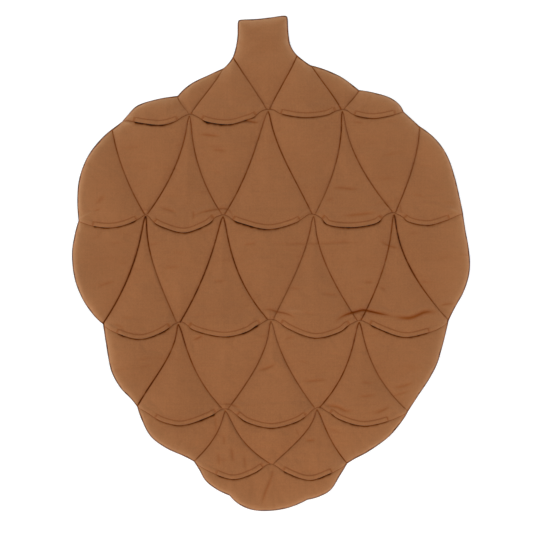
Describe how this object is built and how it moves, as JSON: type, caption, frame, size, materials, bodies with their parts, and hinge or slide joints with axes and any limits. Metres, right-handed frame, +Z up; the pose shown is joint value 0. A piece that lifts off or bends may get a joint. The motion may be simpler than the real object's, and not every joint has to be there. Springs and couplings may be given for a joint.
{
  "type": "pine cone shaped quilted floor mat",
  "caption": "Flat quilted cotton floor mat in the shape of a pine cone: padded, with a short stem, overlapping tiers with scalloped hems and curved quilting lines.",
  "frame": {"origin": "on the floor, under the middle of the mat's outline", "axes": "+Y towards the stem, along the mat's length; +X across it; +Z up from the floor, through the mat's thickness"},
  "size_m": [0.964, 1.199, 0.0194],
  "materials": {
    "cotton_front": "matt woven cotton, cinnamon brown",
    "cotton_back": "matt woven cotton, cinnamon brown",
    "wadding": "soft off-white wadding",
    "thread": "brown sewing thread"
  },
  "bodies": {
    "root": {"back_panel": "cotton_back", "wadding": "wadding", "tier_1": "cotton_front", "tier_2": "cotton_front", "tier_3": "cotton_front", "tier_4": "cotton_front", "tier_5": "cotton_front", "tier_6": "cotton_front"}
  },
  "joints": []
}
